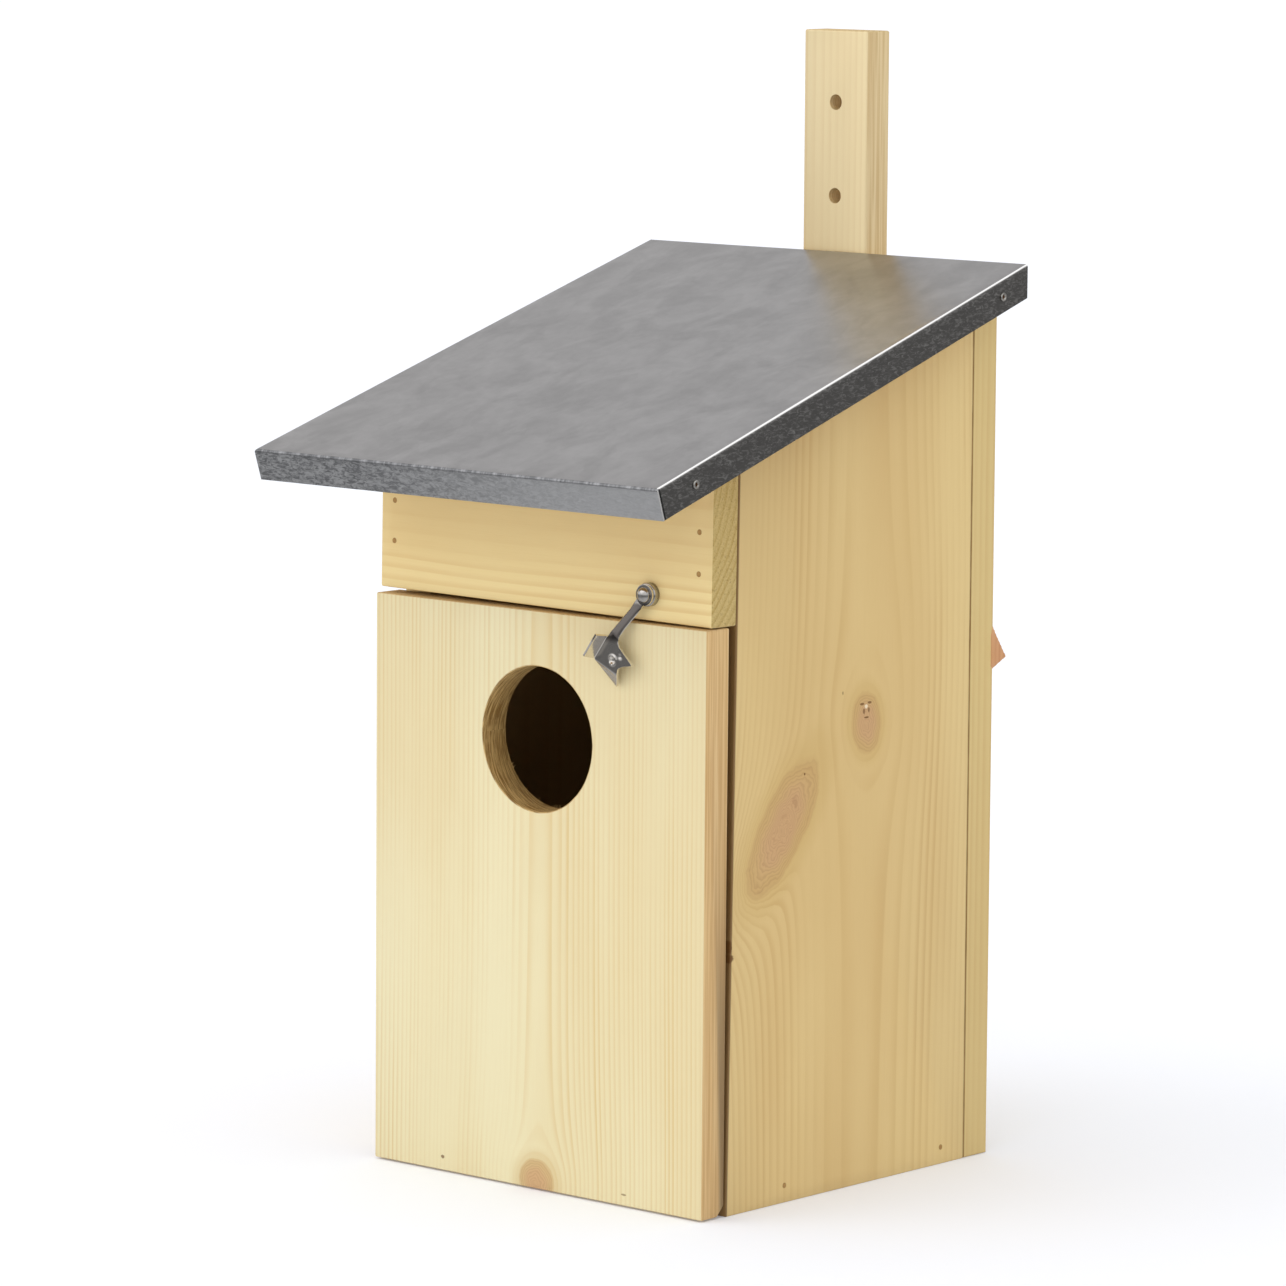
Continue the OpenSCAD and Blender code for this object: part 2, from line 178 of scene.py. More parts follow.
def slow_tone(wood, along):
    """A slow change along the grain, between 0 and 1."""
    return wood.noise(wood.point(0.0, 0.0, along, (1, 1, 1 / 22)), 3.0, 0.6).step(0.3, 0.7)


# Tones that any board may show beside its own pale and late wood. The tones of the inner face,
# of the edge behind the door and of the seam are painted shade, and the bore's dark tone partly.
KNOT_HALO, KNOT_WOOD, KNOT_HEART = srgb(202, 168, 100), srgb(203, 166, 110), srgb(206, 162, 122)
KNOT_RINGS, KNOT_RIM, KNOT_GUM = srgb(160, 112, 66), srgb(176, 126, 74), srgb(140, 94, 56)
OPEN_PORE, CHIP_DARK, CHIP_PALE = srgb(120, 92, 44), srgb(112, 74, 32), srgb(246, 232, 200)
BORE_DARK_AND_SHADE, BORE_PALE = srgb(136, 98, 40), srgb(216, 182, 118)
INNER_PAINTED_SHADE, EDGE_PAINTED_SHADE, SEAM_SHADE = srgb(150, 108, 58), srgb(104, 68, 24), srgb(128, 92, 34)


def pine(name, order, heart, ring, pale, late, end, knots=(), force=0.6, wander=3.0,
         side=None, bore=None, inner=0, seam=None, front=None, chips=(),
         chip_depth=(0, 0)):
    """Pine as it grows: rings round a heart line, each pale at first and closing in a thin dark
    band. order names the axes across the face, through the board and along the grain. heart is
    where the heart line lies across and through, in mm, and ring the width of a year.
    A knot is (across, along, half width, half length, tilt in degrees, swell, red): the grain
    flows round it as water round a post, so a point s from its middle is read at s - s / q,
    where q is the squared distance from the middle with the knot's edge at 1, and the rings
    swell out beside it by swell mm. Inside the knot are small rings of its own.
    side gives two tones for the long edges, bore the height and radius of a bored hole, whose wall
    is darkened partly as painted shade, inner which way the inner face looks, darkened there as
    painted shade for the inside of the box, and seam the axis and place of a joint's shadow.
    front is where the edge behind the door starts at the bottom and how it leans back, which a
    painted shade darkens. Chips are (across, along, half width, half length, darkness), and go in
    from one face only, as chip_depth says."""
    wood = Finish(name, gloss=0.35)
    across, through, along = wood.place(order=order)
    slow = wood.point(across, through, along, (1 / 70, 1 / 70, 1 / 330))
    bend = (wood.noise(slow, 2.0) - 0.5) * wander
    fine = wood.point(across, through, along, (1 / 9, 1 / 9, 1 / 120))
    bend = bend + (wood.noise(fine, 1.0) - 0.5) * (wander * 0.16)
    read = across + bend
    bulge, inside, own, halo, red, pink = None, None, None, None, None, None
    for x, z, half_w, half_l, tilt, swell, redness in knots:
        turn = math.radians(tilt)
        s, t = across - x, along - z
        u = s * (math.cos(turn) / half_w) + t * (math.sin(turn) / half_w)
        v = t * (math.cos(turn) / half_l) - s * (math.sin(turn) / half_l)
        wobble = (wood.noise(wood.point(s, through, t, (1 / 6, 1 / 30, 1 / 6)), 2.0) - 0.5) * 0.5
        q = u * u + v * v + wobble
        away = q.join("MAXIMUM", 1.0)
        read = read - s / away
        rise = (away.join("POWER", -1.0)) * swell
        bulge = rise if bulge is None else bulge + rise
        within = q.step(1.3, 0.8)
        lip = q.step(0.55, 0.98) * q.step(1.3, 1.0)
        warm = q.step(3.2, 0.8)
        small = (q.join("MAXIMUM", 0.0).join("SQRT") * (half_w / 0.95) + wobble * 2).join("FRACT")
        small = small.step(0.25, 0.8) * small.step(1.0, 0.86) * within
        inside = within if inside is None else inside.join("MAXIMUM", within)
        own = small if own is None else own.join("MAXIMUM", small)
        halo = warm if halo is None else halo.join("MAXIMUM", warm)
        edge = lip * redness
        red = edge if red is None else red.join("MAXIMUM", edge)
        core = q.step(0.8, 0.1)
        pink = core if pink is None else pink.join("MAXIMUM", core)
    out, deep = read - heart[0], through - heart[1]
    radius = (out * out + deep * deep).join("SQRT")
    if bulge is not None:
        radius = radius - bulge
    years = radius / ring
    uneven = wood.noise(wood.point(radius, 0.0, 0.0, (0.11 / ring, 1, 1)), 3.0, 0.7)
    years = years + uneven * 2.2
    year = years.join("FRACT")
    band = year.step(0.30, 0.86) * year.step(1.0, 0.90)
    strength = wood.noise(wood.point(years.join("FLOOR"), 0.0, 0.0, (0.37, 1, 1)), 2.0, 0.9)
    strength = strength.step(0.28, 0.72) * 0.75 + 0.25
    patch = wood.noise(wood.point(across, through, along, (1 / 26, 1 / 26, 1 / 150)), 3.0)
    strength = strength * patch.step(0.25, 0.75)
    streak = wood.noise(wood.point(across, through, along, (2.1, 2.1, 1 / 24)), 3.0, 0.65)
    hair = wood.noise(wood.point(across, through, along, (6.5, 6.5, 1 / 7)), 2.0, 0.6)
    clear = (inside * -1 + 1) if inside is not None else None
    share = band * strength * force
    if clear is not None:
        share = share * clear
    face = wood.place(order=order, reading="Normal")[2].join("ABSOLUTE")
    cut = face.step(0.55, 0.8)
    colour = wood.blend(share, pale, late)
    wide = wood.noise(wood.point(across, through, along, (1 / 55, 1 / 55, 1 / 210)), 2.0)
    colour = wood.blend(wide.step(0.35, 0.7) * 0.30, colour, late)
    colour = wood.blend((streak - 0.5).join("ABSOLUTE") * 0.40, colour, late)
    colour = wood.blend((hair.step(0.60, 0.80)) * 0.12, colour, late)
    if side is not None:
        sideways = wood.place(order=order, reading="Normal")[0].join("ABSOLUTE").step(0.6, 0.85)
        thin = wood.noise(wood.point(across, through, along, (1 / 5, 1.1, 1 / 60)), 2.0, 0.6)
        colour = wood.blend(sideways * 0.8, colour,
                            wood.blend(thin.step(0.35, 0.65), side[0], side[1]))
    grey = wood.point(across, through, along, (1 / 8, 1 / 8, 1 / 8))
    specks = wood.noise(wood.point(across, through, along, (1.9, 1.9, 1.9)), 3.0, 0.75)
    pores = wood.noise(wood.point(across, through, along, (1.1, 1.1, 1.1)), 2.0, 0.5)
    pores = pores.step(0.6, 0.7)
    colour = wood.blend(cut * (band * 0.11 + specks.step(0.3, 0.8) * 0.3 + 0.45), colour, end)
    colour = wood.blend(cut * pores * 0.4, colour, OPEN_PORE)
    if inside is not None:
        gum = wood.noise(grey, 2.0)
        colour = wood.blend(halo * 0.38, colour, KNOT_HALO)
        colour = wood.blend(inside * 0.58, colour, KNOT_WOOD)
        colour = wood.blend(pink * 0.6, colour, KNOT_HEART)
        colour = wood.blend(own * 0.24, colour, KNOT_RINGS)
        colour = wood.blend(red * 0.14, colour, KNOT_RIM)
        colour = wood.blend(inside * gum.step(0.66, 0.80) * 0.2, colour, KNOT_GUM)
    for x, z, half_w, half_l, dark in chips:
        s, t = (across - x) / half_w, (along - z) / half_l
        rag = (wood.noise(wood.point(s, 0.0, t, (1.3, 1, 1.3)), 3.0, 0.7) - 0.5) * 1.6
        mark = (s * s + t * t + rag).step(1.1, 0.5) * through.step(*chip_depth)
        colour = wood.blend(mark * abs(dark), colour,
                            CHIP_DARK if dark > 0 else CHIP_PALE)
    # The bore's wall: torn end grain in two tones, darkened partly as its own colour and partly as
    # painted shade inside the hole
    if bore is not None:
        s, t = across, along - bore[0]
        inward = (s * s + t * t).join("SQRT").step(bore[1] + 0.5, bore[1] + 0.15)
        angle = t.join("ARCTAN2", s)
        shred = wood.noise(wood.point(angle * 2.6, through * 1.7 + angle * 5.0, 0.0), 4.0, 0.7)
        colour = wood.blend(inward * 0.9, colour, wood.blend(shred.step(0.38, 0.62),
                            BORE_DARK_AND_SHADE, BORE_PALE))
    # The faces that look into the box are darkened: painted shade for its inside
    if inner:
        facing = (wood.place(order=order, reading="Normal")[1] * inner).step(0.25, 0.65)
        colour = wood.blend(facing * 0.75, colour, INNER_PAINTED_SHADE)
    # Painted shade along the sides' front edge, in the gap behind the door
    if front is not None:
        near = (across - along * front[1] - front[0]).step(1.3, 0.5)
        colour = wood.blend(near * 0.85, colour, EDGE_PAINTED_SHADE)
    if seam is not None:
        line = ((across, through, along)[seam[0]] - seam[1]).join("ABSOLUTE").step(0.75, 0.25)
        colour = wood.blend(line * (slow_tone(wood, along) * 0.4 + 0.5), colour, SEAM_SHADE)
    height = band * share * 0.5 + hair * 0.5 + streak * 0.4
    height = height + specks * cut * 1.6
    rough = wood.noise(fine, 2.0) * 0.18 + 0.5
    return wood.done(colour, rough + cut * 0.15, height, 0.055)


def stands_for(piece, body, slot, *nodes):
    """The piece rides on a body and stands for CAD nodes; slot is not used."""
    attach(piece, body)
    if nodes:
        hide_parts(*nodes)
    return piece


def eased(node, name, material, body, slot, arris=ARRIS, rim=None, lift=0.0):
    """A board with its sharp edges rounded: a merged copy of the CAD solid, whose long edges get
    a bevel arris wide. rim is (place on the axis, axis, radius, share of the arris) of a bore
    whose two rims are eased as well. Nail and screw holes stay as drilled. lift raises the
    bottom edge, which was planed off after the walls were nailed up."""
    solid = bmesh.new()
    solid.from_mesh(frame["nodes"][node].data)
    bmesh.ops.remove_doubles(solid, verts=solid.verts, dist=2e-6)
    if lift:
        bmesh.ops.translate(solid, verts=[v for v in solid.verts if v.co.z < lift],
                            vec=(0, 0, lift))
    bmesh.ops.dissolve_limit(solid, angle_limit=math.radians(0.6), verts=solid.verts,
                             edges=solid.edges)
    weight = solid.edges.layers.float.new("bevel_weight_edge")
    for edge in solid.edges:
        corner = edge.calc_face_angle(0) > math.radians(20)
        if corner and edge.calc_length() > 7 * MM:
            edge[weight] = 1.0
        elif corner and rim is not None:
            from_axis = [(v.co - rim[0]).cross(rim[1]).length for v in edge.verts]
            if max(abs(d - rim[2]) for d in from_axis) < 0.1 * MM:
                edge[weight] = rim[3]
        edge.smooth = not corner or edge[weight] > 0
    for face in solid.faces:
        face.smooth = True
    mesh = bpy.data.meshes.new(name)
    solid.to_mesh(mesh)
    solid.free()
    mesh.materials.clear()
    mesh.materials.append(material)
    board = bpy.data.objects.new(name, mesh)
    bpy.context.scene.collection.objects.link(board)
    bevel = board.modifiers.new("eased edges", "BEVEL")
    bevel.limit_method, bevel.width, bevel.segments = "WEIGHT", arris, 3
    bevel.use_clamp_overlap, bevel.harden_normals = False, True
    return stands_for(board, body, slot, node)


SIDE_PALE, SIDE_LATE = srgb(229, 202, 142), srgb(200, 160, 98)
SIDE_END = srgb(178, 144, 84)
BACK_SEAM = 79.75                       # the joint of sides and back along Y, in mm
FRONT_FOOT, FRONT_LEAN = -48.85, 0.0157  # foot of the sides' front edge, and its lean back, where painted shade runs
RIGHT_SKIN = (71.8, 73.6)               # along X, where its chips start and where they are full
right_wood = pine("right_side_pine", "YXZ", (22, 20), 2.1, SIDE_PALE, SIDE_LATE, SIDE_END,
                  inner=-1, seam=(0, BACK_SEAM), front=(FRONT_FOOT, FRONT_LEAN),
                  knots=((-20.5, 129.5, 10.8, 25.5, -38, 9.0, 0.8),
                         (23.4, 160.6, 7.6, 10.2, 9, 4.0, 0.6)),
                  chips=((-48.2, 91.8, 1.9, 3.0, 0.95), (-47.9, 88.0, 2.6, 1.6, 0.9),
                         (-9.3, 146.4, 0.5, 0.5, 0.9), (21.0, 167.2, 1.3, 0.5, 0.8),
                         (25.0, 167.4, 1.2, 0.5, 0.8), (22.0, 164.6, 0.7, 1.1, 0.7),
                         (24.6, 164.9, 0.6, 1.0, 0.7), (23.2, 166.2, 0.9, 0.8, -0.8),
                         (23.4, 162.4, 1.4, 0.35, 0.9), (10.6, 172.0, 0.4, 0.7, 0.6)),
                  chip_depth=RIGHT_SKIN)
left_wood = pine("left_side_pine", "YXZ", (-12, 24), 2.3, SIDE_PALE, SIDE_LATE, SIDE_END,
                 inner=1, seam=(0, BACK_SEAM),
                 knots=((31, 96, 5.0, 7.5, 12, 3.0, 0.8),))
eased("right_side", "right_side_board", right_wood, "house", "board_pine")
eased("left_side", "left_side_board", left_wood, "house", "board_pine")

# ---- Back board ----
# One wide pine board closes the back, over the rear edges of the sides and the floor.
# It is nailed on from behind. A long splinter has lifted from its rear right edge.
back_wood = pine("back_pine", "XYZ", (-8, 190), 2.4, srgb(220, 195, 134), SIDE_LATE, SIDE_END,
                 inner=-1, seam=(1, BACK_SEAM),
                 knots=((-44, 84, 6.0, 10, 10, 4.0, 0.9), (37, 214, 4.2, 6.4, -14, 3.0, 0.7)))
eased("back_board", "back_board_eased", back_wood, "house", "board_pine", lift=0.1 * MM)

# ---- Floor ----
# A pine board lies between the sides and in front of the back, flush with their bottom ends.
# Its front edge is beveled underneath, and the hinge leaves are screwed to that edge.
floor_wood = pine("floor_pine", "YZX", (-30, -40), 2.2, SIDE_PALE, SIDE_LATE, SIDE_END, inner=1)
eased("floor_board", "floor_board_eased", floor_wood, "house", "board_pine")

# ---- Hinges ----
# Two small brass butt hinges join the door's bottom edge to the floor. Their leaves are let
# into the wood and screwed, and a steel pin runs through the knuckles of each.


def metal(name, bright, dull, rough, scratches=0.06):
    """Plain metal: bright and dull tones in soft patches, with fine scratches in its gloss."""
    skin = Finish(name, metal=1.0)
    x, y, z = skin.place()
    patch = skin.noise(skin.point(x, y, z, (0.35, 0.35, 0.35)), 3.0, 0.6)
    lines = skin.noise(skin.point(x, y, z, (0.6, 0.6, 0.6 * 7)), 2.0, 0.7)
    colour = skin.blend(patch.step(0.3, 0.7), dull, bright)
    return skin.done(colour, patch * 0.12 + lines * scratches + rough, lines + patch * 0.5, 0.01)


def coat(material, *nodes):
    """CAD solids that are shown with their own meshes take a better material."""
    for node in nodes:
        mesh = frame["nodes"][node].data
        mesh.materials.clear()
        mesh.materials.append(material)


brass = metal("hinge_brass", srgb(214, 182, 112), srgb(178, 142, 78), 0.26)
steel = metal("nail_steel", srgb(170, 168, 164), srgb(112, 108, 104), 0.34)
coat(brass, "left_floor_leaf", "right_floor_leaf", "left_door_leaf", "right_door_leaf",
     "hinge_floor_screws", "hinge_door_screws")
coat(steel, "left_hinge_pin", "right_hinge_pin", "back_nails", "roof_nails", "batten_screws")
# The nails of the faces are driven below the surface, and dust and rust colour their heads
sunk_skin = Finish("sunk_nail_heads", gloss=0.2)
sunk_spots = sunk_skin.noise(sunk_skin.point(*sunk_skin.place()), 2.0)
sunk = sunk_skin.done(sunk_skin.blend(sunk_spots, srgb(196, 160, 102), srgb(146, 106, 58)), 0.7)
coat(sunk, "floor_nails", "rail_nails")

# ---- Door ----
# A pale pine board hung on the hinges, which covers the front edges of the sides. The round
# entrance was bored through it. Half a knot shows at the bottom edge, with the grain arched
# over it.
BORE_UP, BORE_RADIUS = 156.12, 25   # the entrance's height and radius, in mm
DOOR_SKIN = (-57, -58.5)            # along Y, where its chips start and where they are full
door_wood = pine("door_pine", "XYZ", (2, -75.1), 1.95, srgb(234, 224, 184), srgb(214, 182, 118),
                 srgb(200, 160, 104), force=0.8, bore=(BORE_UP, BORE_RADIUS),
                 side=(srgb(224, 186, 128), srgb(200, 152, 88)), inner=1,
                 knots=((0.9, 2.9, 7.5, 7.6, 0, 5.0, 0.8),),
                 chips=((-43, 5.4, 0.9, 0.7, 0.8), (40.8, 4.5, 1.3, 0.4, 0.6)),
                 chip_depth=DOOR_SKIN)
door_low, door_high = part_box("door_panel")
eased("door_panel", "door_board", door_wood, "door", "door_pine",
      rim=(Vector((0, (door_low.y + door_high.y) / 2, BORE_UP * MM)), Vector((0, 1, 0)),
           BORE_RADIUS * MM, 0.6))

# ---- Rail ----
# A pine rail above the door, its grain running across, nailed over the sides' front edges.
# Its top is beveled to the roof, and its bottom edge runs a little out of square.
rail_wood = pine("rail_pine", "ZYX", (262, -118), 2.6, srgb(243, 221, 161), srgb(214, 174, 106),
                 srgb(156, 126, 46), wander=9.0, force=0.55)
eased("front_rail", "front_rail_eased", rail_wood, "house", "rail_pine")

# ---- Latch ----
# A turning latch stamped from nickel-plated steel: an eye, a neck, a flared head with a
# thumb tab bent up along its left edge, and a lip bent back to the door. A domed screw holds it
# to the rail over a thick washer, and it turns on the screw.

# Sizes in mm: half the neck's width, the radius of the eye and of its bore, the height of the
# arm's underside at the eye and at the head, and how far the lip reaches at its right end
NECK, EYE, EYE_BORE = 1.75, 3.6, 1.62
ARM_LOW, ARM_HIGH, LATCH_METAL, LIP = 2.45, 6.25, 0.9, 5.5
NECK_START, NECK_RUN = 3.4, 13.6        # where the neck starts to rise, and over what length
NECK_END, TAB_START, LIP_START = 17, 19.1, 25.5     # along the arm from the pivot
# The head's right edge: how far along the arm, and how far to the right of its middle
HEAD_EDGE = np.array([(3, 1.75), (13, 1.75), (16.3, 2.0), (18, 2.9), (19.1, 4.4), (20.3, 12.1),
                      (20.7, 12.0), (22.9, 9.6), (24.2, 8.6), (25.5, 8.1), (27.2, 8.8)])
latch_joint = [j for j in frame["joints"] if j["child"] == "latch"][0]
latch_pivot = np.array(latch_joint["pos_m"])
# Out of the rail's face, along the arm, and to the right of it
latch_out = -np.array(latch_joint["axis"]) * np.sign(latch_joint["axis"][1])
ARM_ANGLE = math.radians(35)
down_rail = np.cross(latch_out, (1.0, 0, 0))
down_rail = down_rail * -np.sign(down_rail[2])
latch_along = down_rail * math.cos(ARM_ANGLE) - np.array((1.0, 0, 0)) * math.sin(ARM_ANGLE)
latch_right = np.array((1.0, 0, 0)) * math.cos(ARM_ANGLE) + down_rail * math.sin(ARM_ANGLE)


def grid_faces(rows, columns):
    """The four corners of each square of a grid of points laid out row by row: point i, the
    next one, and the same two a row further on."""
    first = (np.arange(rows - 1)[:, None] * columns + np.arange(columns - 1)).ravel()
    return np.stack([first, first + 1, first + columns + 1, first + columns], axis=1)


def surface(name, points, faces, material, smooth=True):
    """An object at the origin from arrays of points and of faces."""
    used, index = np.unique(faces, return_inverse=True)
    mesh = bpy.data.meshes.new(name)
    mesh.from_pydata(points.reshape(-1, 3)[used].tolist(), [], index.reshape(faces.shape).tolist())
    mesh.polygons.foreach_set("use_smooth", np.full(len(faces), smooth))
    mesh.materials.append(material)
    mesh.update()
    made = bpy.data.objects.new(name, mesh)
    bpy.context.scene.collection.objects.link(made)
    return made


def patches(name, parts, material):
    """One object from several grids of points, sewn together where their edges meet."""
    points, faces, count = [], [], 0
    for grid in parts:
        points.append(grid.reshape(-1, 3))
        faces.append(grid_faces(*grid.shape[:2]) + count)
        count += grid.shape[0] * grid.shape[1]
    made = surface(name, np.concatenate(points), np.concatenate(faces), material)
    sewn = bmesh.new()
    sewn.from_mesh(made.data)
    bmesh.ops.remove_doubles(sewn, verts=sewn.verts, dist=0.01 * MM)
    bmesh.ops.recalc_face_normals(sewn, faces=sewn.faces)
    sewn.to_mesh(made.data)
    sewn.free()
    return made


def on_latch(u, w, v):
    """Points in the row frame: the pivot plus u mm along the arm, w to its right and v out."""
    u, w, v = np.broadcast_arrays(u, w, v)
    return latch_pivot + MM * (u[..., None] * latch_along + w[..., None] * latch_right
                               + v[..., None] * latch_out)


def arm_height(u):
    """The arm's height over the rail: level at the eye, an even rise along the neck with soft
    bends at its ends, t + 0.4 t (1 - t) (2 t - 1) of the whole rise, and level at the head."""
    t = np.clip((u - NECK_START) / NECK_RUN, 0, 1)
    return ARM_LOW + LATCH_METAL + (ARM_HIGH - ARM_LOW) * (t + 0.4 * t * (1 - t) * (2 * t - 1))


def dimples(u, w):
    """Two punched marks in the head: hollows that fade as e to the minus d ^ 4 and d ^ 2, where
    d is the distance from the mark over its radius, and a raised rim round the first."""
    d1 = np.hypot(u - 24.4, w - 4.6) / 1.15
    d2 = np.hypot(u - 21.2, w - 6.4) / 0.7
    return (-0.75 * np.exp(-d1 ** 4) + 0.28 * np.exp(-((d1 - 1.25) / 0.35) ** 2)
            - 0.3 * np.exp(-d2 ** 2))


columns = np.linspace(0, 1, 29)
neck_w = NECK * (2 * columns - 1)
rows = np.concatenate([np.linspace(0, 1, 26)[:-1] * 13.4 + 3.6,
                       np.linspace(NECK_END, LIP_START, 30)])
u = rows[:, None] + np.zeros_like(columns)
edge_w = np.interp(u, HEAD_EDGE[:, 0], HEAD_EDGE[:, 1])
w = -NECK + (edge_w + NECK) * columns
u[0] = np.sqrt(EYE ** 2 - neck_w ** 2)
w[0] = neck_w
# Down to the slanting line of the lip's bend, then the lip, which is longest at the right
s = np.linspace(0, 1, 9)[1:, None]
w_bend = -NECK + (8.1 + 0.7 * s + NECK) * columns
u_bend = 29 - 2 * (w_bend + 1.5) / 10.2
u_low = LIP_START + s * (u_bend - LIP_START)
q = np.linspace(0, 1, 9)[1:, None]
w_lip = w_bend[-1] + q * 0.2 * columns
u_lip = u_bend[-1] + q * (0.25 + LIP * columns)
round_off = np.clip((u_lip - u_bend[-1]) / 0.8, 0, 1)
v_lip = ARM_HIGH + LATCH_METAL - 0.62 * (u_lip - u_bend[-1]) * (0.55 + 0.45 * round_off)
# The stamping's edges are pressed down a little, so the neck and the head are slightly domed
press = 0.42 * np.abs(2 * columns - 1) ** 5
press = press * np.clip((u - 4) / 3, 0, 1) * np.clip((19 - u) / 4, 0, 1)
arm = on_latch(np.concatenate([u, u_low, u_lip]), np.concatenate([w, w_bend, w_lip]),
               np.concatenate([arm_height(u) + dimples(u, w) - press,
                               arm_height(u_low) + dimples(u_low, w_bend), v_lip]))
# The eye, a ring whose outline shares the neck's end points
neck_angles = np.arcsin(neck_w / EYE)
rest_angles = np.linspace(neck_angles[-1], 2 * math.pi + neck_angles[0], 46)
angles = np.concatenate([neck_angles, rest_angles[1:]])
ring_r = np.linspace(EYE_BORE, EYE, 7)[:, None]
eye = on_latch(ring_r * np.cos(angles), ring_r * np.sin(angles),
               ARM_LOW + LATCH_METAL + np.zeros((7, len(angles))))
# The thumb tab, bent up along the head's left edge to lean out by 15 degrees
TAB, TAB_BEND, TAB_TURN = 4.2, 0.35, math.radians(75)
reach = np.concatenate([np.linspace(0, 1, 7) * TAB_BEND * TAB_TURN,
                        TAB_BEND * TAB_TURN + np.linspace(0, TAB, 12)[1:]])
bent = np.clip(reach / TAB_BEND, 0, TAB_TURN)
straight = np.clip(reach - TAB_BEND * TAB_TURN, 0, None)
tab_w = -NECK - TAB_BEND * np.sin(bent) - straight * math.cos(TAB_TURN)
tab_v = (ARM_HIGH + LATCH_METAL + TAB_BEND * (1 - np.cos(bent))
         + straight * math.sin(TAB_TURN))
edge_u = np.concatenate([u[rows > TAB_START][:, 0], u_low[:, 0]])[:, None]
slant = 0.05 * straight * np.linspace(1, -1, len(edge_u))[:, None]
tab = on_latch(edge_u + slant, tab_w, tab_v + 0 * edge_u)
nickel = metal("latch_nickel", srgb(200, 198, 196), srgb(178, 176, 174), 0.10, 0.04)
NECK_SHADE_FOOT, NECK_SHADE_TOP = (192.5, 195), (208, 206)      # heights where the neck's painted dark reflection fades


def stamped(name):
    """The stamping's nickel: grey and a little tarnished on its faces, painted much darker along
    the neck as a painted dark reflection, and bright with painted highlights on its edges, the tab
    and the lip."""
    skin = Finish(name, metal=1.0)
    x, y, z = skin.place()
    patch = skin.noise(skin.point(x, y, z, (0.35, 0.35, 0.35)), 3.0, 0.6)
    # Where the faces don't look out, at the edges, the tab and the lip: a painted highlight
    faces = skin.place(reading="Normal")[1].join("ABSOLUTE").step(0.72, 0.93)
    # Along the neck the grey is painted much darker: a painted dark reflection
    neck = z.step(*NECK_SHADE_FOOT) * z.step(*NECK_SHADE_TOP)
    face = skin.blend(neck, srgb(180, 177, 174), srgb(92, 88, 86))
    colour = skin.blend(faces, srgb(226, 222, 216), face)
    return skin.done(colour, patch * 0.08 + 0.12, patch, 0.01)


latch = patches("latch_stamping", [arm, eye, tab], stamped("latch_stamped_nickel"))
bpy.context.view_layer.update()
facing = latch.data.polygons[len(latch.data.polygons) // 2].normal
if np.dot(np.array(facing), latch_out) < 0:
    latch.data.flip_normals()
plate = latch.modifiers.new("thickness", "SOLIDIFY")
plate.thickness, plate.offset = LATCH_METAL * MM, -1
rounding = latch.modifiers.new("rounded edges", "BEVEL")
rounding.width, rounding.segments, rounding.angle_limit = 0.22 * MM, 2, math.radians(50)
rounding.use_clamp_overlap = True
stands_for(latch, "latch", "nickel", "latch_arm")


def turned(profile):
    """A piece turned on the latch's pivot: a profile of (radius, height) carried round it, at
    radius times the cosine and the sine of the angle."""
    radius, height = np.array(profile).T[:, :, None]
    angle = np.linspace(0, 2 * math.pi, 65)
    return on_latch(radius * np.cos(angle), radius * np.sin(angle), height + 0 * angle)


dome = np.radians(np.linspace(90, 0, 14))
screw_seat = ARM_LOW + LATCH_METAL + 0.05
SCREW_HEAD, SCREW_SHANK, SCREW_END = 2.6, 1.5, -11      # two radii, and its depth in the rail
head = [(0.01, screw_seat + 1.7)]
head += [(SCREW_HEAD * math.cos(a), screw_seat + 0.3 + 1.4 * math.sin(a)) for a in dome[1:]]
head += [(SCREW_HEAD, screw_seat), (SCREW_SHANK, screw_seat), (SCREW_SHANK, SCREW_END),
         (0.01, SCREW_END)]
screw = patches("latch_screw_head", [turned(head)], nickel)
stands_for(screw, "house", "nickel", "latch_screw")
rim_turn = np.radians(np.linspace(0, 90, 7))
WASHER_BORE, WASHER_RADIUS, WASHER_TOP, WASHER_ROUND = 1.55, 4.0, 2.4, 0.45
washer = [(WASHER_BORE, 0.0), (WASHER_RADIUS, 0.0)]
washer += [(3.55 + WASHER_ROUND * math.cos(a), 1.95 + WASHER_ROUND * math.sin(a))
           for a in rim_turn]
washer += [(WASHER_BORE, WASHER_TOP), (WASHER_BORE, 0.0)]
ring = patches("latch_spacer", [turned(washer)], nickel)
stands_for(ring, "house", "nickel", "latch_washer")

# ---- Roof board ----
# A pine board laid on the sloping tops of the walls and nailed down to them. The sheet metal
# hides all but its underside and its rear edge.
roof_wood = pine("roof_pine", "YZX", (-20, 150), 2.6, SIDE_PALE, SIDE_LATE, SIDE_END, wander=6.0,
                 inner=-1)
eased("roof_board", "roof_board_eased", roof_wood, "house", "board_pine")

# ---- Roof sheet ----
# One galvanised sheet laid over the roof board. Its sides are folded down first, then its front,
# whose cut ends show at the corners, and small nails hold it to the board's edges.
FOLD = 1.1 * MM                             # the folds' outer radius
SHEET, FLANGE = 0.6 * MM, 11.2 * MM         # the sheet's thickness and its flanges' height
SLOPE, ROOF_HALF = math.radians(17.9), 91.5 * MM
TAPER_LEFT, TAPER_RIGHT = 8 * MM, 1.4 * MM  # how far each side comes in towards the back


def turned_down(s, radius):
    """How far out and how far down a fold has come at distance s along it: a quarter circle of
    that radius, then straight down."""
    angle = np.clip(s / radius, 0, math.pi / 2)
    beyond = np.clip(s - radius * math.pi / 2, 0, None)
    return radius * np.sin(angle), radius * (1 - np.cos(angle)) + beyond


